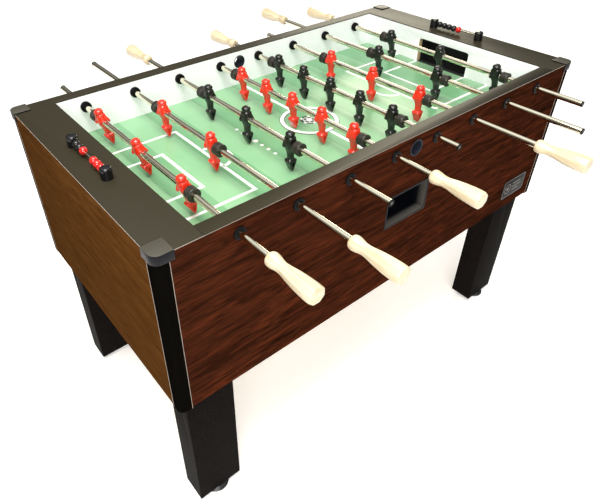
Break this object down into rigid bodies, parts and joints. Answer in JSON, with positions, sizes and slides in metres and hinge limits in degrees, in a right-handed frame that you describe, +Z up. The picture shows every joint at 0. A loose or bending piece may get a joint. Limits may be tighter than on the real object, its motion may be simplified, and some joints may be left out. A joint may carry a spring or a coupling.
{
  "type": "foosball table",
  "caption": "Table football game: legged wooden cabinet with a green field, sliding and spinning steel rods carrying team figures, goals, bead scorers and a ball return.",
  "frame": {"origin": "on the floor, midway between the four levelling feet", "axes": "+X along the table from the red goal to the black goal, +Y across it away from the red team's handles, +Z up"},
  "size_m": [1.4284, 1.3738, 0.968],
  "materials": {
    "mahogany_laminate": "satin wood-grain laminate with dark streaks along the length",
    "white_laminate": "smooth satin",
    "green_field": "satin printed board",
    "raw_board": "unfinished",
    "olive_rail": "satin, faintly grained",
    "black_extrusion": "satin, fine vertical ribs",
    "grey_cap": "satin moulded",
    "black_leg": "black speckled laminate",
    "zinc_steel": "zinc plated",
    "black_foot": "moulded with a plated rim",
    "black_plastic": "glossy moulded",
    "cup_plastic": "satin moulded",
    "dark_plate": "satin with a pale raised edge",
    "rod_steel": "polished",
    "handle_wood": "clear lacquered maple",
    "bumper_rubber": "ridged",
    "red_figure": "glossy moulded",
    "black_figure": "glossy moulded",
    "red_bead": "glossy",
    "black_bead": "glossy"
  },
  "bodies": {
    "table": {"side_panels": "mahogany_laminate", "end_panels": "mahogany_laminate", "inner_walls": "white_laminate", "goal_walls": "white_laminate", "playfield": "green_field", "playfield_cleats": "raw_board", "top_rails": "olive_rail", "corner_posts": "black_extrusion", "corner_caps": "grey_cap", "base_panel": "raw_board", "legs": "black_leg", "leg_bolts": "zinc_steel", "rod_bearings": "black_plastic", "serving_cups": "cup_plastic", "ball_return_cup": "cup_plastic", "return_chutes": "raw_board", "name_plate": "dark_plate", "scorer_posts": "black_plastic", "scorer_rods": "rod_steel"},
    "leveller_left_near_foot": {"leveller_left_near": "black_foot"},
    "leveller_left_far_foot": {"leveller_left_far": "black_foot"},
    "leveller_right_near_foot": {"leveller_right_near": "black_foot"},
    "leveller_right_far_foot": {"leveller_right_far": "black_foot"},
    "black_beads_left_string": {"black_beads_left": "black_bead"},
    "red_bead_left_string": {"red_bead_left": "red_bead"},
    "red_beads_left_string": {"red_beads_left": "red_bead"},
    "black_beads_right_string": {"black_beads_right": "black_bead"},
    "red_bead_right_string": {"red_bead_right": "red_bead"},
    "red_goalie_carriage": {"red_goalie_bumpers": "bumper_rubber"},
    "red_goalie_spinner": {"red_goalie_rod": "rod_steel", "red_goalie_handle": "handle_wood", "red_goalie_figures": "red_figure"},
    "red_defence_carriage": {"red_defence_bumpers": "bumper_rubber"},
    "red_defence_spinner": {"red_defence_rod": "rod_steel", "red_defence_handle": "handle_wood", "red_defence_figures": "red_figure"},
    "black_attack_carriage": {"black_attack_bumpers": "bumper_rubber"},
    "black_attack_spinner": {"black_attack_rod": "rod_steel", "black_attack_handle": "handle_wood", "black_attack_figures": "black_figure"},
    "red_midfield_carriage": {"red_midfield_bumpers": "bumper_rubber"},
    "red_midfield_spinner": {"red_midfield_rod": "rod_steel", "red_midfield_handle": "handle_wood", "red_midfield_figures": "red_figure"},
    "black_midfield_carriage": {"black_midfield_bumpers": "bumper_rubber"},
    "black_midfield_spinner": {"black_midfield_rod": "rod_steel", "black_midfield_handle": "handle_wood", "black_midfield_figures": "black_figure"},
    "red_attack_carriage": {"red_attack_bumpers": "bumper_rubber"},
    "red_attack_spinner": {"red_attack_rod": "rod_steel", "red_attack_handle": "handle_wood", "red_attack_figures": "red_figure"},
    "black_defence_carriage": {"black_defence_bumpers": "bumper_rubber"},
    "black_defence_spinner": {"black_defence_rod": "rod_steel", "black_defence_handle": "handle_wood", "black_defence_figures": "black_figure"},
    "black_goalie_carriage": {"black_goalie_bumpers": "bumper_rubber"},
    "black_goalie_spinner": {"black_goalie_rod": "rod_steel", "black_goalie_handle": "handle_wood", "black_goalie_figures": "black_figure"}
  },
  "joints": [
    {"name": "leveller_left_near_screw", "type": "slide", "parent": "table", "child": "leveller_left_near_foot", "axis": [0, 0, -1], "range_m": [0, 0.02]},
    {"name": "leveller_left_far_screw", "type": "slide", "parent": "table", "child": "leveller_left_far_foot", "axis": [0, 0, -1], "range_m": [0, 0.02]},
    {"name": "leveller_right_near_screw", "type": "slide", "parent": "table", "child": "leveller_right_near_foot", "axis": [0, 0, -1], "range_m": [0, 0.02]},
    {"name": "leveller_right_far_screw", "type": "slide", "parent": "table", "child": "leveller_right_far_foot", "axis": [0, 0, -1], "range_m": [0, 0.02]},
    {"name": "black_beads_left_slide", "type": "slide", "parent": "table", "child": "black_beads_left_string", "axis": [0, -1, 0], "range_m": [0, 0.0118]},
    {"name": "red_bead_left_slide", "type": "slide", "parent": "black_beads_left_string", "child": "red_bead_left_string", "axis": [0, -1, 0], "range_m": [0, 0.0118]},
    {"name": "red_beads_left_slide", "type": "slide", "parent": "table", "child": "red_beads_left_string", "axis": [0, 1, 0], "range_m": [0, 0.0118]},
    {"name": "black_beads_right_slide", "type": "slide", "parent": "table", "child": "black_beads_right_string", "axis": [0, -1, 0], "range_m": [0, 0.0273]},
    {"name": "red_bead_right_slide", "type": "slide", "parent": "black_beads_right_string", "child": "red_bead_right_string", "axis": [0, -1, 0], "range_m": [0, 0.0273]},
    {"name": "red_goalie_slide", "type": "slide", "parent": "table", "child": "red_goalie_carriage", "axis": [0, 1, 0], "range_m": [-0.1124, 0.0564]},
    {"name": "red_goalie_spin", "type": "hinge", "parent": "red_goalie_carriage", "child": "red_goalie_spinner", "pos_m": [-0.5264, 0.028, 0.9065], "axis": [0, 1, 0], "continuous": true},
    {"name": "red_defence_slide", "type": "slide", "parent": "table", "child": "red_defence_carriage", "axis": [0, 1, 0], "range_m": [-0.2309, 0.1169]},
    {"name": "red_defence_spin", "type": "hinge", "parent": "red_defence_carriage", "child": "red_defence_spinner", "pos_m": [-0.376, 0.057, 0.9065], "axis": [0, 1, 0], "continuous": true},
    {"name": "black_attack_slide", "type": "slide", "parent": "table", "child": "black_attack_carriage", "axis": [0, 1, 0], "range_m": [-0.1124, 0.1124]},
    {"name": "black_attack_spin", "type": "hinge", "parent": "black_attack_carriage", "child": "black_attack_spinner", "pos_m": [-0.2256, 0, 0.9065], "axis": [0, 1, 0], "continuous": true},
    {"name": "red_midfield_slide", "type": "slide", "parent": "table", "child": "red_midfield_carriage", "axis": [0, 1, 0], "range_m": [-0.0444, 0.0684]},
    {"name": "red_midfield_spin", "type": "hinge", "parent": "red_midfield_carriage", "child": "red_midfield_spinner", "pos_m": [-0.0752, -0.012, 0.9065], "axis": [0, 1, 0], "continuous": true},
    {"name": "black_midfield_slide", "type": "slide", "parent": "table", "child": "black_midfield_carriage", "axis": [0, 1, 0], "range_m": [-0.0524, 0.0604]},
    {"name": "black_midfield_spin", "type": "hinge", "parent": "black_midfield_carriage", "child": "black_midfield_spinner", "pos_m": [0.0752, -0.004, 0.9065], "axis": [0, 1, 0], "continuous": true},
    {"name": "red_attack_slide", "type": "slide", "parent": "table", "child": "red_attack_carriage", "axis": [0, 1, 0], "range_m": [-0.0839, 0.1409]},
    {"name": "red_attack_spin", "type": "hinge", "parent": "red_attack_carriage", "child": "red_attack_spinner", "pos_m": [0.2256, -0.0285, 0.9065], "axis": [0, 1, 0], "continuous": true},
    {"name": "black_defence_slide", "type": "slide", "parent": "table", "child": "black_defence_carriage", "axis": [0, 1, 0], "range_m": [-0.1409, 0.2069]},
    {"name": "black_defence_spin", "type": "hinge", "parent": "black_defence_carriage", "child": "black_defence_spinner", "pos_m": [0.376, -0.033, 0.9065], "axis": [0, 1, 0], "continuous": true},
    {"name": "black_goalie_slide", "type": "slide", "parent": "table", "child": "black_goalie_carriage", "axis": [0, 1, 0], "range_m": [-0.0389, 0.1299]},
    {"name": "black_goalie_spin", "type": "hinge", "parent": "black_goalie_carriage", "child": "black_goalie_spinner", "pos_m": [0.5264, -0.0455, 0.9065], "axis": [0, 1, 0], "continuous": true}
  ]
}
